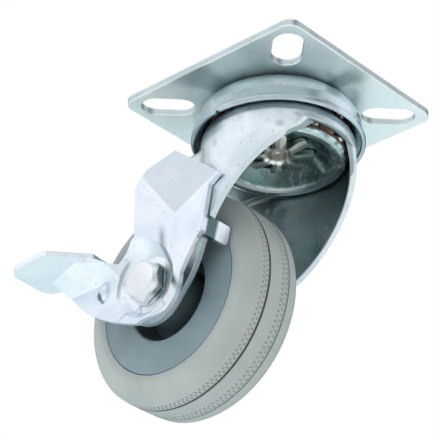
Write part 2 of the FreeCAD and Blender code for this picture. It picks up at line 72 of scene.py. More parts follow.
class Value:
    """A number that changes over a surface."""

    def __init__(self, maker, socket):
        self.maker = maker
        self.socket = socket

    def math(self, operation, first, second=0.0):
        node = self.maker.node("ShaderNodeMath", {"operation": operation}, {0: first, 1: second})
        return Value(self.maker, node.outputs[0])

    def __add__(self, other):
        return self.math("ADD", self, other)

    def __radd__(self, other):
        return self.math("ADD", other, self)

    def __sub__(self, other):
        return self.math("SUBTRACT", self, other)

    def __rsub__(self, other):
        return self.math("SUBTRACT", other, self)

    def __mul__(self, other):
        return self.math("MULTIPLY", self, other)

    def __rmul__(self, other):
        return self.math("MULTIPLY", other, self)

    def __truediv__(self, other):
        return self.math("DIVIDE", self, other)

    def __rtruediv__(self, other):
        return self.math("DIVIDE", other, self)

    def __pow__(self, other):
        return self.math("POWER", self, other)

    def __rpow__(self, other):
        return self.math("POWER", other, self)

    def wave(self):
        return self.math("SINE", self)

    def size(self):
        return self.math("ABSOLUTE", self)

    def least(self, other):
        return self.math("MINIMUM", self, other)

    def most(self, other):
        return self.math("MAXIMUM", self, other)


def distance(first, second):
    """How far a place is from an axis, given its two coordinates across the axis."""
    return (first * first + second * second) ** 0.5


# %% [markdown]
# Nodes can be added and linked in any tree, the world's as well as a material's, so that work
# goes in one class. A material adds what only a surface has: its own coordinates, noise and
# relief. Places are given in millimetres in the castor's own frame, because a mark that is fixed
# to the metal keeps still on it from whatever side it is looked at.

# %% Node helpers


class Nodes:
    """Adds nodes to one tree and links them."""

    def __init__(self, tree):
        self.tree = tree

    def node(self, kind, settings=None, inputs=None):
        node = self.tree.nodes.new(kind)
        for key, value in (settings or {}).items():
            setattr(node, key, value)
        for key, value in (inputs or {}).items():
            self.feed(node.inputs[key], value)
        return node

    def feed(self, socket, value):
        if isinstance(value, Value):
            value = value.socket
        if isinstance(value, bpy.types.NodeSocket):
            self.tree.links.new(value, socket)
        else:
            socket.default_value = value

    def between(self, value, low, high, to_low=0.0, to_high=1.0):
        """A smooth step from one number, below low, to another, above high."""
        node = self.node("ShaderNodeMapRange", {"interpolation_type": "SMOOTHSTEP"}, {
            "Value": value, "From Min": low, "From Max": high,
            "To Min": to_low, "To Max": to_high})
        return Value(self, node.outputs[0])

    def falling(self, value, low, high):
        """A smooth step down from 1, below low, to 0, above high."""
        return self.between(value, low, high, 1.0, 0.0)

    def mix(self, factor, first, second):
        """A blend of two colours, each a tuple or another node's output."""
        node = self.node("ShaderNodeMix", {"data_type": "RGBA"})
        self.feed(node.inputs[0], factor)
        for socket, colour in ((node.inputs[6], first), (node.inputs[7], second)):
            self.feed(socket, (*colour, 1.0) if isinstance(colour, tuple) else colour)
        return node.outputs[2]


class Paint(Nodes):
    """A material whose nodes are made in code."""

    def __init__(self, name):
        self.material = bpy.data.materials.new(name)
        self.material.use_nodes = True
        super().__init__(self.material.node_tree)
        self.shader = self.tree.nodes["Principled BSDF"]
        self.place = self.node("ShaderNodeTexCoord").outputs["Object"]

    def set(self, **inputs):
        """Feeds the surface shader; an underscore in a name stands for a space."""
        for key, value in inputs.items():
            self.feed(self.shader.inputs[key.replace("_", " ")], value)

    def axes(self):
        """The place on the piece in the castor's own frame, in millimetres."""
        node = self.node("ShaderNodeSeparateXYZ", {}, {0: self.place})
        return [Value(self, out) / MM for out in node.outputs]

    def vector(self, x, y, z):
        return self.node("ShaderNodeCombineXYZ", {}, {0: x, 1: y, 2: z}).outputs[0]

    def angle(self, first, second):
        """The angle of a place round an axis, from its two coordinates across the axis."""
        node = self.node("ShaderNodeMath", {"operation": "ARCTAN2"}, {0: second, 1: first})
        return Value(self, node.outputs[0])

    def noise(self, scale, detail=2.0, rough=0.5, vector=None, twist=0.0):
        """Cloudy noise from 0 to 1, about 0.5 in the middle."""
        node = self.node("ShaderNodeTexNoise", {}, {
            "Vector": vector or self.place, "Scale": scale, "Detail": detail,
            "Roughness": rough, "Distortion": twist})
        return Value(self, node.outputs[0])

    def stretched(self, x_scale, y_scale, z_scale):
        """The coordinates scaled along each axis, for lines that run one way."""
        node = self.node("ShaderNodeVectorMath", {"operation": "MULTIPLY"}, {
            0: self.place, 1: (x_scale, y_scale, z_scale)})
        return node.outputs[0]

    def relief(self, height, metres, edge=0.0):
        """Feeds Normal with a bump of that many metres, over edges rounded by a small radius."""
        inputs = {"Height": height, "Distance": metres, "Strength": 1.0}
        if edge:
            bevel = self.node("ShaderNodeBevel", {"samples": 6}, {"Radius": edge})
            inputs["Normal"] = bevel.outputs[0]
        self.set(Normal=self.node("ShaderNodeBump", {}, inputs).outputs[0])


def dress(paint, *names):
    """Gives CAD nodes their material."""
    for name in names:
        mesh = nodes[name].data
        mesh.materials.clear()
        mesh.materials.append(paint.material)
        print(name, "is finished in", paint.material.name)


axle_x = axle.x / MM
axle_z = axle.z / MM
print("marks are set out from the axle at", round(axle_x, 2), round(axle_z, 2), "mm")

# %% [markdown]
# Bright zinc plating is nearly mirror-like on a bolt, but on pressed sheet it shows the steel
# below: fine drawing lines, cloudy patches where the bath was thinner, small pits and a faint
# blue cast. A picture of such sheet could be wrapped on, but it would stretch on the drawn walls.
# Noise in the castor's own coordinates needs no unwrapping, so one recipe makes every plated
# piece. Its lines run along the sheet on flat pieces and round the swivel axis or the axle on
# drawn and turned ones. Where a piece has marks, they darken the plating, as painted shade and
# reflection on most pieces and as dirt on a few, and stand out a little.

# %% Zinc plated steel
cloud_scale = 55.0
pit_scale = 900.0
plating_relief = 0.06
sheet_lines = 2400.0
turned_lines = 2.6
bolt_lines = 3.2
scratch_tone = (0.92, 0.94, 0.97)
shade_and_dirt_share = (0.135, 0.218, 0.212)


def drawing_lines(paint, run):
    """Fine lines that run along x or z, round the swivel axis or round the axle."""
    x, y, z = paint.axes()
    if run == "round":
        lines = paint.vector(distance(x, y) * turned_lines, z * turned_lines, 0.0)
    elif run == "axle":
        out = distance(x - axle_x, z - axle_z)
        lines = paint.vector(out * bolt_lines, y * bolt_lines, 0.0)
    elif run == "z":
        lines = paint.stretched(sheet_lines, sheet_lines, 90.0)
    else:
        lines = paint.stretched(110.0, sheet_lines, sheet_lines)
    return paint.noise(1.0, 3.0, 0.6, lines)


def zinc_paint(name, light, dark, run, roughness, marks, edge=0.25):
    """Plated steel with two tones of cloud, drawing lines, pits and softened edges.

    Marks is a function of the paint and the coordinates in millimetres. It returns how far a place
    is darkened by painted shade and dirt, from 0 to 1, and how many millimetres it stands out.
    """
    paint = Paint(name)
    patches = paint.between(paint.noise(cloud_scale, 4.0, 0.55, twist=0.6), 0.36, 0.66)
    broad = paint.noise(cloud_scale * 0.35, 2.0, 0.5)
    streak = drawing_lines(paint, run)
    pits = paint.between(paint.noise(pit_scale, 2.0, 0.5), 0.66, 0.74)
    cracks = paint.falling((paint.noise(26.0, 6.0, 0.72, twist=2.2) - 0.5).size(), 0.0, 0.012)
    scratches = cracks * paint.between(broad, 0.45, 0.6)
    colour = paint.mix(patches, dark, light)
    colour = paint.mix(streak * 0.22, colour, light)
    colour = paint.mix(pits * 0.35, colour, tuple(v * 0.55 for v in dark))
    colour = paint.mix(scratches * 0.20, colour, scratch_tone)
    shine = roughness + (1.0 - patches) * 0.10 + (streak - 0.5) * 0.16 + pits * 0.12
    dents = paint.noise(70.0, 2.0, 0.5) * 6.0
    height = (dents + streak * 0.5 - pits * 1.2 - scratches * 0.5) * plating_relief
    shade_and_dirt, rise = marks(paint, *paint.axes())
    # The marks' darkening: painted shade and dark reflections on most pieces, real dirt on some.
    shade_and_dirt_tone = tuple(v * share for v, share in zip(dark, shade_and_dirt_share))
    paint.colour = paint.mix(shade_and_dirt, colour, shade_and_dirt_tone)
    paint.set(Base_Color=paint.colour, Metallic=1.0, Roughness=shine)
    paint.relief(height + rise, MM, edge * MM)
    return paint


# %% [markdown]
# The mounting plate is cut from flat sheet. Seen from below it mirrors the room in broad dark
# wedges that spread from the ring, close beside the ring it lies in shade, and its cut rim looks
# a little darker than its face. A mirror alone would show the wedges from one side only, so they
# are painted into the plating as dark reflections, and the shade beside the ring and on the rim
# is painted too. A wedge is a range of angles round the swivel axis: its middle, and how far from
# it the painted tone holds and ends.

# %% The mounting plate
plate_bottom = -2.0
left_wedge = (-1.76, 0.08, 0.27)
front_wedge = (-1.08, 0.04, 0.20)
ahead_wedge = (-0.03, 0.05, 0.20)


def plate_marks(paint, x, y, z):
    """Three painted dark reflections round the ring, and painted shade at its foot and on the rim.
    """
    turn = paint.angle(x, y)
    out = distance(x, y)
    # Painted dark reflections in three wedges, and painted shade beside the ring and on the rim.
    left, front, ahead = (
        paint.falling((turn - middle).size(), holds, ends)
        for middle, holds, ends in (left_wedge, front_wedge, ahead_wedge))
    ahead = ahead * paint.between(out, 30.0, 36.0, 0.68, 0.20)
    ring_shade = paint.between(out, 27.5, 30.0, 0.18, 0.0)
    cloudy = paint.between(paint.noise(48.0, 3.0, 0.6), 0.30, 0.70, 0.75, 1.0)
    below = paint.falling(z, plate_bottom - 0.4, plate_bottom)
    under = (left * 0.62).most(front * 0.22).most(ahead).most(ring_shade) * cloudy * below
    rim = paint.between(z, plate_bottom - 0.3, plate_bottom) * paint.falling(z, -0.4, -0.2) * 0.42
    return under.most(rim), 0.0


dress(zinc_paint("zinc_plate", (0.96, 1.0, 1.0), (0.86, 0.93, 0.95), "x", 0.30, plate_marks),
      "top_plate")

# %% [markdown]
# The ring under the plate is the upper race and the dust lip in one pressing. A seam runs round
# it where its wall turns over, and its lip has one small nick, where the press staked it. Both
# are too small to model, so they are drawn into the finish: the seam as a height with painted
# shade along it, and the nick as a spot with a reach along x and z.

# %% The race ring
seam_height = -13.1
nick_spot = (-1.7, -16.0)
nick_depth = 0.4


def near_point(x, z, spot, reach_x, reach_z):
    """How far a place is from a spot, seen along the axle: 0 on it and 1 at its reach."""
    return distance((x - spot[0]) / reach_x, (z - spot[1]) / reach_z)


def ring_marks(paint, x, y, z):
    """The staking nick in the skirt's lip, and the seam round it with painted shade along it."""
    nick = paint.falling(near_point(x, z, nick_spot, 1.1, 0.9), 0.4, 1.0)
    nick = nick * paint.falling(y, -27.5, -27.0)
    # Painted shade along the seam, in the crease where the wall turns over.
    seam = paint.falling((z - seam_height).size(), 0.2, 0.8)
    return nick.most(seam * 0.45), nick * -nick_depth


dress(zinc_paint("zinc_ring", (0.64, 0.72, 0.77), (0.46, 0.55, 0.58), "round", 0.24, ring_marks),
      "race_ring")

# %% [markdown]
# The fork is one drawn pressing. Its inside lies in shade, which is painted in as a darker
# green-grey, while the outside is bright with a few smudges, and painted shade lies on its wall
# just below the ring. Inside and outside are one mesh, so they are told apart by where they lie:
# the legs' inner faces are nearer to the middle than the outer ones, and the head's inner wall
# has its own radius. The front wall and the web behind cross the middle, so their outer skins are
# left out by a radius and by a place along x. The faces could be picked by hand and given a second
# material, but then the painted shade would end in a hard line.

# %% The fork
leg_inside = 16.6
head_inside = 23.4
front_outside = 24.4
web_outside = -29.0
bend_start = -19.0
bend_slope = 0.52
fork_smudges = (
    ((-5.3, -24.2), 1.3, 2.6, 0.30),
    ((17.0, -23.0), 1.7, 2.0, 0.34),
    ((20.9, -19.2), 1.2, 1.0, 0.42))


def fork_marks(paint, x, y, z):
    """Painted shade inside the pressing and below the ring, and the smudges."""
    out = distance(x, y)
    front_skin = paint.between(out, front_outside, front_outside + 0.6)
    front_skin = front_skin * paint.between(x, -14.0, -12.0)
    rear_skin = paint.falling(x, web_outside - 0.8, web_outside)
    legs = paint.falling(y.size(), leg_inside, leg_inside + 0.4)
    legs = legs * (1.0 - front_skin.most(rear_skin))
    head = paint.falling((out - head_inside).size(), 0.2, 0.6)
    head = head * paint.between(y, leg_inside, leg_inside + 0.4)
    bend = paint.falling(y - (x - bend_start) * bend_slope, 17.1, 17.7)
    bend = bend * paint.between(y, leg_inside - 0.6, leg_inside)
    bend = bend * paint.between(x, -20.0, -18.0) * paint.falling(x, -11.5, -10.5)
    # Painted shade on the inner faces of the pressing.
    inside = legs.most(head).most(bend) * paint.falling(z, -14.5, -12.5)
    cloudy = paint.between(paint.noise(60.0, 3.0, 0.6), 0.30, 0.65, 0.75, 1.0)
    shade_below_ring = paint.between(z, -22.2, -19.0) * paint.falling(x, -6.0, 2.0)
    shade_below_ring = shade_below_ring * paint.falling(y, -22.5, -20.0)
    shade_and_dirt = (inside * cloudy * 0.68).most(shade_below_ring * 0.55)
    ragged = paint.between(paint.noise(260.0, 3.0, 0.6), 0.20, 0.60, 0.4, 1.0)
    ragged = ragged * paint.falling(y, -14.5, -13.5)
    for spot, reach_x, reach_z, depth in fork_smudges:
        smudge = paint.falling(near_point(x, z, spot, reach_x, reach_z), 0.2, 1.0)
        shade_and_dirt = shade_and_dirt.most(smudge * ragged * depth)
    return shade_and_dirt, 0.0


dress(zinc_paint("zinc_fork", (0.82, 0.87, 0.91), (0.66, 0.74, 0.77), "z", 0.28, fork_marks),
      "fork")

# %% [markdown]
# The lower cup is a drawn bowl that carries the lower balls. Its bowl is painted darker as
# shade, more on one side than the other, grease has crept over its lip, and on the side of the
# wheel its rolled edge carries a painted highlight. The highlight is a matt white band that
# scatters the lamps' light instead of mirroring the room, which is why its metallic look is
# lowered there and not only its colour raised.

# %% The lower cup
bowl_radius = 16.8
rolled_radius = 18.7
creep_rise = 0.08
edge_highlight_tone = (0.93, 0.96, 0.97)


def cup_marks(paint, x, y, z):
    """Grease that has crept over the lip, and painted shade inside the cup."""
    out = distance(x, y)
    creep = paint.between(paint.noise(230.0, 3.0, 0.6), 0.42, 0.62)
    creep = creep * paint.between(out, 20.8, 22.2)
    cloudy = paint.between(paint.noise(90.0, 3.0, 0.6), 0.30, 0.70, 0.8, 1.0)
    # Painted shade in the bowl, stronger on one side.
    bowl_shade = paint.between(out, bowl_radius, bowl_radius + 1.2, 0.92, 0.0)
    bowl_shade = bowl_shade * paint.between(x + y * 0.4, -18.0, 20.0, 1.0, 0.78)
    return (bowl_shade * cloudy).most(creep * 0.8), creep * creep_rise


def paint_edge_highlight(paint):
    """Paints a bright, matt highlight on the rolled bottom edge, on the side of the wheel."""
    x, y, z = paint.axes()
    # A painted highlight: white and less metallic along the rolled edge.
    edge_highlight = paint.falling((distance(x, y) - rolled_radius).size(), 0.4, 1.2)
    edge_highlight = edge_highlight * paint.between(paint.angle(x, y), 1.70, 2.30) * paint.falling(z, -20.0, -19.0)
    paint.set(Base_Color=paint.mix(edge_highlight, paint.colour, edge_highlight_tone), Metallic=1.0 - edge_highlight * 0.7)


cup_zinc = zinc_paint("zinc_cup", (0.72, 0.86, 0.86), (0.54, 0.68, 0.68), "round", 0.13, cup_marks)
paint_edge_highlight(cup_zinc)
dress(cup_zinc, "lower_cup")

# %% [markdown]
# The brake lever is one pressing. Its front half is a raised rib whose rounded flank curves past
# the bolt, and two short folds were pressed in below the bolt. Shade is painted along the flank,
# round the bolt's seat and along the folds, a painted shadow lies in the hollow beside the bolt,
# and the mouth of its stop lug and the root of the tab are painted dark as shade. The solid has
# the lever's large forms. These fine ones are set out as circles, spots and lines, seen along the
# axle. A fold has a top, a bottom and a width, and the height of the sheet on each side of it.

# %% The brake lever
rib_centre_x = 7.0
rib_centre_z = -48.6
rib_radius = 36.2
rib_rise = 0.85
seat_radius = 12.1
hollow_spot = (-28.9, -61.2)
mouth_spot = (-55.7, -63.0)
mouth_depth = 0.5
lever_folds = (
    ((-40.6, -67.2), (-40.0, -74.5), 0.9, (0.0, 0.12)),
    ((-31.8, -66.0), (-27.8, -74.2), 1.2, (0.35, 0.0)))


def fold(paint, x, z, top, bottom, width):
    """A short straight fold: 1 along its length, and how many widths a place lies aside of it."""
    run = Vector((bottom[0] - top[0], bottom[1] - top[1]))
    length = run.length
    run = run / length
    ahead = x - top[0]
    above = z - top[1]
    along = (ahead * run.x + above * run.y) / length
    aside = (above * run.x - ahead * run.y) / width
    return paint.falling((along - 0.5).size(), 0.42, 0.60), aside


def lever_marks(paint, x, y, z):
    """The rib's flank and the folds below the bolt, with painted shade and shadow on the lever."""
    flank = distance(x - rib_centre_x, z - rib_centre_z) - rib_radius
    on_rib = paint.between(z, -74.5, -66.0) * paint.falling(z, -50.0, -44.0)
    on_rib = on_rib * paint.falling(x, -22.0, -15.0) * paint.falling(y, -21.5, -19.5)
    rise = paint.falling(flank, -1.6, 1.0) * on_rib * rib_rise
    # Painted shade along the rib's flank.
    shade_and_dirt = paint.falling((flank + 0.4).size(), 0.0, 2.1) * on_rib
    shade_and_dirt = shade_and_dirt * paint.between(z, -69.0, -50.0, 0.80, 0.42)
    seat_x = x - axle_x
    seat_z = z - axle_z
    # Painted shade round the bolt's seat.
    seat_shade = paint.falling((distance(seat_x, seat_z) - seat_radius).size(), 0.0, 0.9)
    seat_shade = seat_shade * paint.falling(seat_x, -8.5, -6.0) * paint.between(seat_z, -4.0, 0.0)
    shade_and_dirt = shade_and_dirt.most(seat_shade * paint.falling(y, -21.8, -21.2) * 0.55)
    for top, bottom, width, (low, high) in lever_folds:
        within, aside = fold(paint, x, z, top, bottom, width)
        rise = rise + paint.between(aside, -1.0, 1.0, low, high) * within
        # Painted shade along each fold.
        shade_and_dirt = shade_and_dirt.most(paint.falling(aside.size(), 0.0, 1.0) * within * 0.35)
    # A painted shadow in the hollow, and painted shade in the lug's mouth and at the tab's root.
    hollow_shadow = paint.falling(near_point(x, z, hollow_spot, 3.0, 6.6), 0.30, 1.0)
    ragged = paint.between(paint.noise(300.0, 3.0, 0.6), 0.25, 0.55)
    mouth_shade = paint.falling(near_point(x, z, mouth_spot, 1.1, 1.9), 0.5, 1.0)
    mouth_shade = mouth_shade * paint.falling(y, -21.5, -19.5)
    tab_root_shade = paint.between(y, -24.5, -23.5) * paint.falling(y, -20.0, -18.5)
    tab_root_shade = tab_root_shade * paint.between(x, -15.0, -13.0)
    shade_and_dirt = shade_and_dirt.most(hollow_shadow * ragged * 0.70).most(tab_root_shade).most(mouth_shade * 0.9)
    return shade_and_dirt, rise - mouth_shade * mouth_depth


dress(zinc_paint("zinc_lever", (0.90, 0.94, 0.99), (0.80, 0.86, 0.93), "x", 0.33, lever_marks),
      "brake_lever")

# %% [markdown]
# The kingpin is a hollow rivet. Its lower end is split and turned out in eight petals, each with
# a soft ridge along its middle. Shade is painted into the splits and the bore, and a painted
# shadow covers the petals on the far side. The petals come round every eighth of a turn, so the
# size of a sine of four times the angle follows them without a list of places.

# %% The kingpin
petals = 8
petal_ridge = 0.35


def petal_marks(paint, x, y, z):
    """Painted shade in the splits, the hole and on the far petals, and a ridge along each petal."""
    turn = (paint.angle(x, y) * (petals / 2)).wave().size()
    out = distance(x, y)
    below = paint.falling(z, -16.5, -15.5)
    # Painted shade in the splits and the bore, and a painted shadow over the far petals.
    split_shade = paint.between(turn, 0.58, 0.90) * paint.between(out, 4.8, 6.0) * below
    bore_shade = paint.falling(out, 3.6, 4.1)
    far_shadow = paint.between(x * 0.5 + y * 0.85, 0.5, 7.2, 0.0, 0.80) * below
    shade_and_dirt = (split_shade * 0.9).most(bore_shade * 0.65).most(far_shadow)
    return shade_and_dirt, (1.0 - turn) * below * petal_ridge


dress(zinc_paint("zinc_kingpin", (1.0, 0.98, 0.94), (0.84, 0.82, 0.76), "round", 0.34, petal_marks,
                 edge=0.15), "kingpin")

# %% [markdown]
# The bolt and the small pieces on it are turned, stamped or headed, with a finer skin than drawn
# sheet, so they are bright all over. The bolt's thread could be modelled, but only its far end
# shows beside the nut, where a wave that winds round the axle is enough. Shade is painted on the
# flats of the head's front side.

# %% The bolt and what it holds
thread_pitch = 1.25
thread_height = 0.22


def bolt_marks(paint, x, y, z):
    """The thread on the bolt's far end and painted shade on the head's front faces."""
    winding = paint.angle(x - axle_x, z - axle_z) + y * (2.0 * math.pi / thread_pitch)
    helix = winding.wave() * paint.between(y, 26.2, 26.6)
    # Painted shade on the head's flats that face the front.
    flats_shade = paint.between(x - axle_x, 2.0, 4.6)
    flats_shade = flats_shade * paint.between(y, -24.0, -23.0) * paint.falling(y, -20.2, -20.0)
    return (helix.most(0.0) * 0.5).most(flats_shade * 0.80), helix * thread_height


dress(zinc_paint("zinc_bolt", (0.94, 0.95, 0.95), (0.80, 0.82, 0.83), "axle", 0.26, bolt_marks,
                 edge=0.3),
      "axle_bolt", "axle_nut", "nut_washer", "spring_washer", "axle_sleeve", "pivot_collar")

# %% [markdown]
# The balls are polished, but they run in brown grease. A thin coat of it clings to them
# unevenly, so patches of the ball show bright and the rest looks amber. The film hides the
# metal, so it lowers Metallic as well as the colour.

# %% Balls under grease


def ball_paint():
    """Polished steel with a patchy film of brown grease."""
    paint = Paint("greased_ball_steel")
    film = paint.between(paint.noise(420.0, 3.0, 0.6), 0.34, 0.52)
    paint.set(
        Base_Color=paint.mix(film, (0.80, 0.80, 0.78), (0.16, 0.070, 0.030)),
        Metallic=1.0 - film * 0.7, Roughness=0.08 + film * 0.22)
    paint.relief(film, 0.06 * MM)
    return paint


dress(ball_paint(), "upper_balls", "lower_balls")

# %% [markdown]
# The wheel centre is moulded in grey polypropylene. Its skin is slightly waxy, with a very fine
# grain from the mould's eroded surface and faint flow clouds, and shade is painted into the
# recess round the hub. The ring in the lock nut is nylon and takes the same recipe in blue,
# without the painted shade.

# %% Plastic and nylon
recess_shade_tone = (0.035, 0.055, 0.058)


def plastic_paint(name, light, dark, roughness, shaded_radius=0.0):
    """Moulded plastic: flow clouds, fine grain, and painted shade inside a radius of the axle."""
    paint = Paint(name)
    flow = paint.between(paint.noise(38.0, 3.0, 0.5, twist=1.4), 0.35, 0.68)
    grain = paint.noise(3200.0, 2.0, 0.6)
    colour = paint.mix(grain * 0.25, paint.mix(flow, dark, light), light)
    if shaded_radius:
        x, y, z = paint.axes()
        # Painted shade in the hub's recess, with a ragged edge.
        out = distance(x - axle_x, z - axle_z)
        inside = paint.falling(out, shaded_radius - 1.2, shaded_radius)
        smudge = paint.between(paint.noise(110.0, 3.0, 0.6) + inside * 0.5, 0.45, 0.75)
        colour = paint.mix(inside * smudge * 0.85, colour, recess_shade_tone)
    paint.set(Base_Color=colour, Roughness=roughness + (grain - 0.5) * 0.2 + flow * 0.05)
    paint.relief(grain + flow * 2.0, 0.03 * MM, 0.3 * MM)
    return paint


dress(plastic_paint("grey_polypropylene", (0.225, 0.290, 0.325), (0.185, 0.245, 0.275), 0.40,
                    shaded_radius=16.6), "wheel_centre")
dress(plastic_paint("blue_nylon", (0.10, 0.18, 0.45), (0.07, 0.13, 0.36), 0.38), "nut_ring")

# %% [markdown]
# Grey castor rubber is filled and slightly chalky. It has a fine matt grain, a faint mottle and
# rubbed paler patches on the tread. The groove on the brake's side is painted dark as shade, the
# one on the far side is painted pale as a highlight, and the cells get a little painted shade.
# How deep a place lies is measured from the tread's own crowned line, so that the colour of a
# groove or a cell follows its depth.

# %% Rubber
tread_half = 8.0 * MM
tread_crown = 0.3 * MM
rib_edge = 4.35 * MM
groove_width = 0.70 * MM


def rubber_paint():
    """Chalky grey rubber with mottle and tread wear, and painted shade and highlight in the tread.
    """
    paint = Paint("grey_rubber_look")
    x, y, z = paint.axes()
    tread_radius = wheel_radius / MM
    groove_middle = (rib_edge + groove_width / 2) / MM
    radius = distance(x - axle_x, z - axle_z)
    mottle = paint.between(paint.noise(42.0, 4.0, 0.6, twist=0.8), 0.34, 0.68)
    specks = paint.between(paint.noise(1500.0, 2.0, 0.6), 0.60, 0.72)
    grain = paint.noise(2600.0, 2.0, 0.6)
    worn = paint.between(radius, tread_radius - 0.9, tread_radius - 0.1)
    depth = tread_radius - (y.size() / (tread_half / MM)) ** 3.0 * (tread_crown / MM) - radius
    on_tread = paint.falling(y.size(), 7.0, 8.6)
    # Painted shade on the floors of the cells.
    cell_shade = paint.between(depth, 0.08, 0.22) * on_tread
    groove = paint.between(depth, 0.45, 0.9)
    near = paint.falling(y, -3.0, 3.0)
    near_line = paint.falling((y + groove_middle).size(), 0.40, 0.58)
    colour = paint.mix(mottle, (0.360, 0.395, 0.388), (0.415, 0.442, 0.435))
    colour = paint.mix(specks * 0.25, colour, (0.32, 0.35, 0.34))
    colour = paint.mix(worn * 0.35, colour, (0.46, 0.48, 0.47))
    colour = paint.mix(cell_shade * 0.10, colour, (0.12, 0.14, 0.13))
    # Painted shade in the groove on the brake's side.
    groove_shade = (groove * near).most(near_line * 0.7) * on_tread
    colour = paint.mix(groove_shade * 0.95, colour, (0.02, 0.03, 0.027))
    # A painted highlight in the groove on the far side.
    groove_highlight = groove * (1.0 - near) * on_tread
    colour = paint.mix(groove_highlight * 0.8, colour, (0.70, 0.74, 0.73))
    paint.set(Base_Color=colour, Roughness=0.58 + (grain - 0.5) * 0.2 - worn * 0.06)
    paint.relief(grain + mottle * 1.5, 0.05 * MM)
    return paint


tyre_rubber = rubber_paint()
print("rubber mixed as", tyre_rubber.material.name)

# %% [markdown]
# New pieces are made the way one works by hand. Each starts from a primitive at its place, and
# edit mode does the rest. Faces are picked by where they lie, so four small helpers are enough:
# one adds a primitive with nothing else selected, one selects faces by a rule, one draws a line
# by extruding a point, and one finishes the piece with its paint, its slot and the body that
# carries it.

# %% Modelling helpers
MERGE = 0.002 * MM


def start(add, name, **settings):
    """Adds a primitive on its own and opens it in edit mode."""
    if bpy.context.object and bpy.context.object.mode == "EDIT":
        bpy.ops.object.mode_set(mode="OBJECT")
    bpy.ops.object.select_all(action="DESELECT")
    add(**settings)
    piece = bpy.context.object
    piece.name = name
    bpy.ops.object.transform_apply(location=True, rotation=True, scale=True)
    bpy.ops.object.mode_set(mode="EDIT")
    bpy.ops.mesh.select_mode(type="VERT")
    return piece


def pick(kind, rule):
    """Selects the faces, edges or verts of the open piece that a rule accepts.

    The select mode is set to the same kind, because in vertex mode a face whose neighbours are
    all picked would be picked as well.
    """
    bpy.ops.mesh.select_mode(type={"faces": "FACE", "edges": "EDGE", "verts": "VERT"}[kind])
    bpy.ops.mesh.select_all(action="DESELECT")
    shape = bmesh.from_edit_mesh(bpy.context.object.data)
    chosen = 0
    for part in getattr(shape, kind):
        if rule(part):
            part.select_set(True)
            chosen += 1
    shape.select_flush_mode()
    bmesh.update_edit_mesh(bpy.context.object.data)
    return chosen


def draw_line(points):
    """Walks the open piece's single vertex along points with extrusions."""
    here = Vector(points[0])
    for there in points[1:]:
        step = Vector(there) - here
        bpy.ops.mesh.extrude_region_move(TRANSFORM_OT_translate={"value": step})
        here = Vector(there)


def done(piece, paint, body, smooth):
    """Closes edit mode and gives the piece its smoothing, paint, slot and carrier."""
    bpy.ops.mesh.select_all(action="SELECT")
    bpy.ops.mesh.remove_doubles(threshold=MERGE)
    bpy.ops.mesh.normals_make_consistent(inside=False)
    bpy.ops.object.mode_set(mode="OBJECT")
    bpy.ops.object.shade_smooth_by_angle(angle=math.radians(smooth))
    piece.data.materials.clear()
    piece.data.materials.append(paint.material)
    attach(piece, body)
    print(piece.name, "has", sum(len(f.vertices) - 2 for f in piece.data.polygons), "triangles")


# %% [markdown]
# The tyre's section is drawn from the -Y rim over the tread to the +Y rim, as radius and place
# along the axle. It carries two narrow grooves, a fine parting line from the mould and a lip that
# stands a hair off the rim, which makes the thin dark line seen between tyre and plastic. A few
# key points with a smooth line through them give the round shoulders, and the tread gets one
# point wherever a row of cells begins or ends.

# %% The tyre's section
groove_depth = 1.3 * MM
groove_lip = 0.10 * MM
rim_edge = 27.9 * MM
parting_line = -1.45 * MM
parting_half = 0.17 * MM
parting_height = 0.06 * MM
cell_rows = (
    (-7.9 * MM, -6.85 * MM, 1), (-6.65 * MM, -5.45 * MM, 0),
    (1.0 * MM, 2.3 * MM, 0), (2.65 * MM, 4.0 * MM, 1))


def smooth_run(points, steps):
    """Points on a smooth line through the given ones."""
    run = []
    for i in range(len(points) - 1):
        before = points[max(i - 1, 0)]
        here, after = points[i], points[i + 1]
        beyond = points[min(i + 2, len(points) - 1)]
        for k in range(steps):
            t = k / steps
            run.append(tuple(
                0.5 * (2 * h + (a - b) * t + (2 * b - 5 * h + 4 * a - f) * t ** 2
                       + (3 * h - b - 3 * a + f) * t ** 3)
                for b, h, a, f in zip(before, here, after, beyond)))
    run.append(points[-1])
    return run


def tread_height(y):
    """The tread's radius: slightly crowned."""
    return wheel_radius - tread_crown * (abs(y) / tread_half) ** 3


def tyre_side(sign):
    """The shoulder and side wall from the tread's edge to the rim."""
    keys = [
        (tread_height(tread_half), tread_half), (wheel_radius - 1.2 * MM, tyre_half - 3.3 * MM),
        (wheel_radius - 2.9 * MM, tyre_half - 1.7 * MM),
        (wheel_radius - 5.0 * MM, tyre_half - 0.5 * MM), (wheel_radius - 7.2 * MM, tyre_half),
        (wheel_radius - 8.7 * MM, tyre_half - 0.2 * MM), (rim_edge + 0.25 * MM, 12.35 * MM),
        (rim_edge, 12.05 * MM), (rim_edge, 11.4 * MM)]
    return [(r, sign * y) for r, y in smooth_run(keys, 4)]


def groove_section(sign):
    """A narrow groove with softened edges, from the middle outwards."""
    top = tread_height(rib_edge)
    far_edge = rib_edge + groove_width
    slope = groove_width * 0.3
    points = (
        (top, rib_edge - groove_lip), (top - groove_lip * 0.4, rib_edge),
        (top - groove_depth, rib_edge + slope), (top - groove_depth, far_edge - slope),
        (top - groove_lip * 0.4, far_edge), (top, far_edge + groove_lip))
    return [(r, sign * y) for r, y in points]


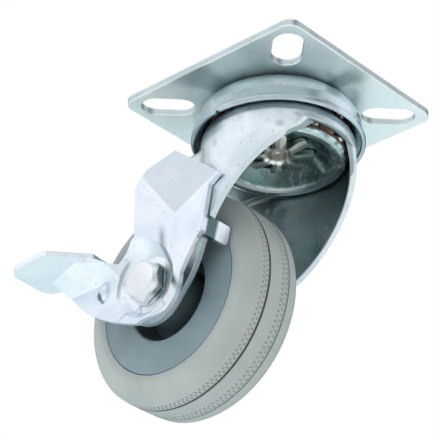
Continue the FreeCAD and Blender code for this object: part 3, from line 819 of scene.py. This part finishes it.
def tread_section():
    """The tread from the -Y shoulder to the +Y one, with the lines that the cells need."""
    edges = [y for row in cell_rows for y in row[:2]]
    middle = [-4.0 * MM, parting_line - parting_half, parting_line, parting_line + parting_half,
              0.0, *edges[4:]]
    tread = [(tread_height(y), y) for y in edges[:4]]
    tread += groove_section(-1)[::-1]
    tread += [(tread_height(y) + (parting_height if y == parting_line else 0.0), y) for y in middle]
    tread += groove_section(1)
    tread += [(tread_height(y), y) for y in (5.6 * MM, 6.8 * MM)]
    return tread


section = tyre_side(-1)[::-1] + tread_section() + tyre_side(1)
section += [(rim_edge, tread_half), (rim_edge, -tread_half)]
print("the tyre's section has", len(section), "points")

# %% [markdown]
# Two bands of small cells run round the tread, which the solid leaves out because there are
# hundreds of them. Counted in the picture, each band has two rows of 130 cells, set like bricks.
# They could be relief in the rubber's finish, but sunk cells keep their walls at any angle.
# The section is spun round the axle in twice as many steps as a row has cells. A row is then one
# ring of faces, and every second face of it is inset and sunk, so each cell costs five faces
# and no boolean is needed.

# %% The tyre with its cells
cell_count = 130
cell_depth = 0.26 * MM
cell_wall = 0.07 * MM
tread_zone = 0.6 * MM
cell_angle = math.pi / cell_count

start_x = math.cos(cell_angle / 2)
start_z = math.sin(cell_angle / 2)
profile = [Vector((axle.x + r * start_x, axle.y + y, axle.z + r * start_z)) for r, y in section]
tyre = start(bpy.ops.mesh.primitive_plane_add, "tyre_with_cells", size=MM, location=profile[0])
bpy.ops.mesh.merge(type="CENTER")
draw_line(profile + profile[:1])
bpy.ops.mesh.select_all(action="SELECT")
bpy.ops.mesh.spin(
    steps=2 * cell_count, angle=2 * math.pi, center=axle, axis=(0.0, 1.0, 0.0))
bpy.ops.mesh.select_all(action="SELECT")
bpy.ops.mesh.remove_doubles(threshold=MERGE)
bpy.ops.mesh.normals_make_consistent(inside=False)


def is_cell(face):
    """Whether a face of the tread is one of the cells of its row."""
    middle = face.calc_center_median() - axle
    if math.hypot(middle.x, middle.z) < wheel_radius - tread_zone:
        return False
    turn = round(math.atan2(middle.z, middle.x) / cell_angle) % 2
    return any(low < middle.y < high and turn == parity for low, high, parity in cell_rows)


print("cells picked:", pick("faces", is_cell))
bpy.ops.mesh.inset(thickness=cell_wall, depth=-cell_depth, use_individual=True)
done(tyre, tyre_rubber, "wheel", 50.0)
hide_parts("tyre")

# %% [markdown]
# Grease is squeezed out of the lower race and sits as an uneven bead on the cup's lip. It could
# be painted on, but it stands out and catches the light as a lump does. A ring is laid on the
# lip, its points are pushed about at random, and two rounds of smoothing melt them together. It
# stays clear of the fork's wall, so that the fork turns round it freely.

# %% Grease on the cup's lip
lip_radius = 22.35 * MM
lip_height = 1.75 * MM
bead_radius = 0.42 * MM
bead_lumps = 0.16 * MM


def grease_paint():
    """Old brown grease, glossy where it is fresh."""
    paint = Paint("brown_grease")
    age = paint.between(paint.noise(380.0, 3.0, 0.6), 0.35, 0.65)
    paint.set(
        Base_Color=paint.mix(age, (0.105, 0.050, 0.024), (0.032, 0.022, 0.016)),
        Roughness=0.22 + age * 0.35)
    paint.relief(paint.noise(900.0, 2.0, 0.5), 0.12 * MM)
    return paint


bead = start(
    bpy.ops.mesh.primitive_torus_add, "grease_bead", major_radius=lip_radius,
    minor_radius=bead_radius, major_segments=160, minor_segments=10,
    location=(0.0, 0.0, cup_low[2] + lip_height))
bpy.ops.mesh.select_all(action="SELECT")
bpy.ops.transform.vertex_random(offset=bead_lumps, uniform=0.6, normal=0.4, seed=7)
bpy.ops.mesh.vertices_smooth(factor=0.5, repeat=2)
done(bead, grease_paint(), "mount", 60.0)

# %% [markdown]
# The camera repeats the photographer's view: from ahead on the brake side and well below the
# plate, with a long lens. It was found by fitting circles and edges of the castor to the
# picture, and is given here as angles and distances in the castor's own frame.

# %% Camera
azimuth = math.radians(42.439)
elevation = math.radians(-29.904)
roll = math.radians(1.097)
camera_distance = 0.70896
camera_right = -0.01870
camera_up = -0.03837
focal_pixels = 2132.9
picture_pixels = 440

back = Vector((
    math.sin(azimuth) * math.cos(elevation), -math.cos(azimuth) * math.cos(elevation),
    math.sin(elevation)))
right = Vector((math.cos(azimuth), math.sin(azimuth), 0.0))
up = back.cross(right)
stand = back * camera_distance + right * camera_right + up * camera_up
right_rolled = right * math.cos(roll) + up * math.sin(roll)
up_rolled = up * math.cos(roll) - right * math.sin(roll)
camera_data = bpy.data.cameras.new("camera")
camera_data.sensor_width = 36.0
camera_data.lens = focal_pixels * camera_data.sensor_width / picture_pixels
camera_data.clip_start = 0.01
camera = bpy.data.objects.new("camera", camera_data)
bpy.context.scene.collection.objects.link(camera)
camera.matrix_world = Matrix([
    (right_rolled[i], up_rolled[i], back[i], stand[i]) for i in range(3)] + [(0.0, 0.0, 0.0, 1.0)])
bpy.context.scene.camera = camera
print("camera", round(camera_distance, 3), "m away, lens", round(camera_data.lens, 1), "mm")

# %% [markdown]
# Four large soft lamps shape the castor: a key from the photographer's left, a weaker fill from
# the right, a low one that lifts the wheel's bottom, and a rim from behind. They aren't mirrored
# themselves, so that no facet of the lever burns out to white.

# %% Lamps
castor_middle = Vector((-0.02, 0.0, -0.045))


def lamp(name, direction, reach, size, power, tint=(1.0, 1.0, 1.0)):
    """A square soft lamp that looks at the middle of the castor."""
    data = bpy.data.lights.new(name, "AREA")
    data.shape = "SQUARE"
    data.size = size
    data.energy = power
    data.color = tint
    light = bpy.data.objects.new(name, data)
    bpy.context.scene.collection.objects.link(light)
    light.location = castor_middle + direction.normalized() * reach
    light.rotation_euler = direction.to_track_quat("Z", "Y").to_euler()
    light.visible_glossy = False
    print("lamp", name, power, "W")


lamp("key", back * 0.35 - right * 1.0 - up * 0.15, reach=1.0, size=1.0, power=4.6,
     tint=(0.97, 0.99, 1.0))
lamp("fill", back * 0.9 + right * 0.8 + up * 0.3, reach=1.1, size=0.9, power=1.3)
lamp("under", back * 0.5 - up * 1.0, reach=0.9, size=0.8, power=1.5)
lamp("rim", -back * 0.4 + right * 0.5 + up * 1.0, reach=0.9, size=0.7, power=1.3)

# %% [markdown]
# A white world makes the background. What the metal mirrors is a small studio instead: pale
# high up in front, below the castor and in one patch ahead on its far side, somewhat dimmer in
# front at its own height, and dark blue-green elsewhere, which is what gives plated steel its
# contrast. Rubber and plastic are lit by a third, even tone. Cards round the castor could do the
# same, but the world's own directions need no objects that might show.

# %% World
mirrored_dark = (0.045, 0.105, 0.11)
mirrored_bright = (1.03, 1.06, 1.10)
soft_light = (0.70, 0.74, 0.73)
white = (1.0, 1.0, 1.0)
dim_share = 0.38

world = bpy.data.worlds.new("studio")
bpy.context.scene.world = world
world.use_nodes = True
sky = Nodes(world.node_tree)
background = sky.tree.nodes["Background"]
ray = sky.node("ShaderNodeLightPath").outputs
heading = sky.node("ShaderNodeTexCoord").outputs["Generated"]


def side(toward, low, high):
    """A soft step over the sky, from 0 to 1 towards one side."""
    facing = sky.node("ShaderNodeVectorMath", {"operation": "DOT_PRODUCT"}, {
        0: heading, 1: Vector(toward).normalized()})
    return sky.between(facing.outputs["Value"], low, high)


in_front = side((-0.15, -1.0, 0.1), -0.25, 0.45)
higher = side((0.0, 0.0, 1.0), 0.12, 0.40)
in_front = in_front.least(1.0 - dim_share + higher * dim_share)
below = side((0.0, 0.0, -1.0), -0.05, 0.35)
ahead = side((0.75, 0.62, 0.14), 0.76, 0.92)
studio = sky.mix(in_front.most(below).most(ahead), mirrored_dark, mirrored_bright)
unseen = sky.mix(ray["Is Glossy Ray"], soft_light, studio)
seen = Value(sky, ray["Is Camera Ray"]).most(ray["Is Transmission Ray"])
sky.feed(background.inputs["Color"], sky.mix(seen, unseen, white))
background.inputs["Strength"].default_value = 1.0
print("world made of", len(sky.tree.nodes), "nodes")

# %% [markdown]
# The castor hangs by its plate, so the floor is well below it, out of the picture. The plate's
# underside mirrors its far corner, which is kept darker, and the sheet edges mirror the rest.

# %% Floor
floor_size = 6.0
floor_height = -0.60
bpy.ops.object.select_all(action="DESELECT")
bpy.ops.mesh.primitive_plane_add(size=floor_size, location=(0.0, 0.0, floor_height))
floor = bpy.context.object
floor.name = "floor"
floor_paint = Paint("pale_floor")
floor_x, floor_y = floor_paint.axes()[:2]
lighter = floor_paint.between(floor_x - floor_y, -1300.0, 200.0)
# The floor also glows faintly, so it lights the castor from below as a lamp would.
floor_paint.set(
    Base_Color=floor_paint.mix(lighter, (0.78, 0.91, 0.94), (0.97, 0.985, 1.0)), Roughness=0.8,
    Emission_Color=(0.92, 0.97, 1.0, 1.0), Emission_Strength=0.14)
floor.data.materials.append(floor_paint.material)
print("floor", floor_size, "m wide,", floor_height, "m high")

# %% [markdown]
# The plain view transform is set for the picture.

# %% Finish
bpy.context.scene.view_settings.view_transform = "Standard"
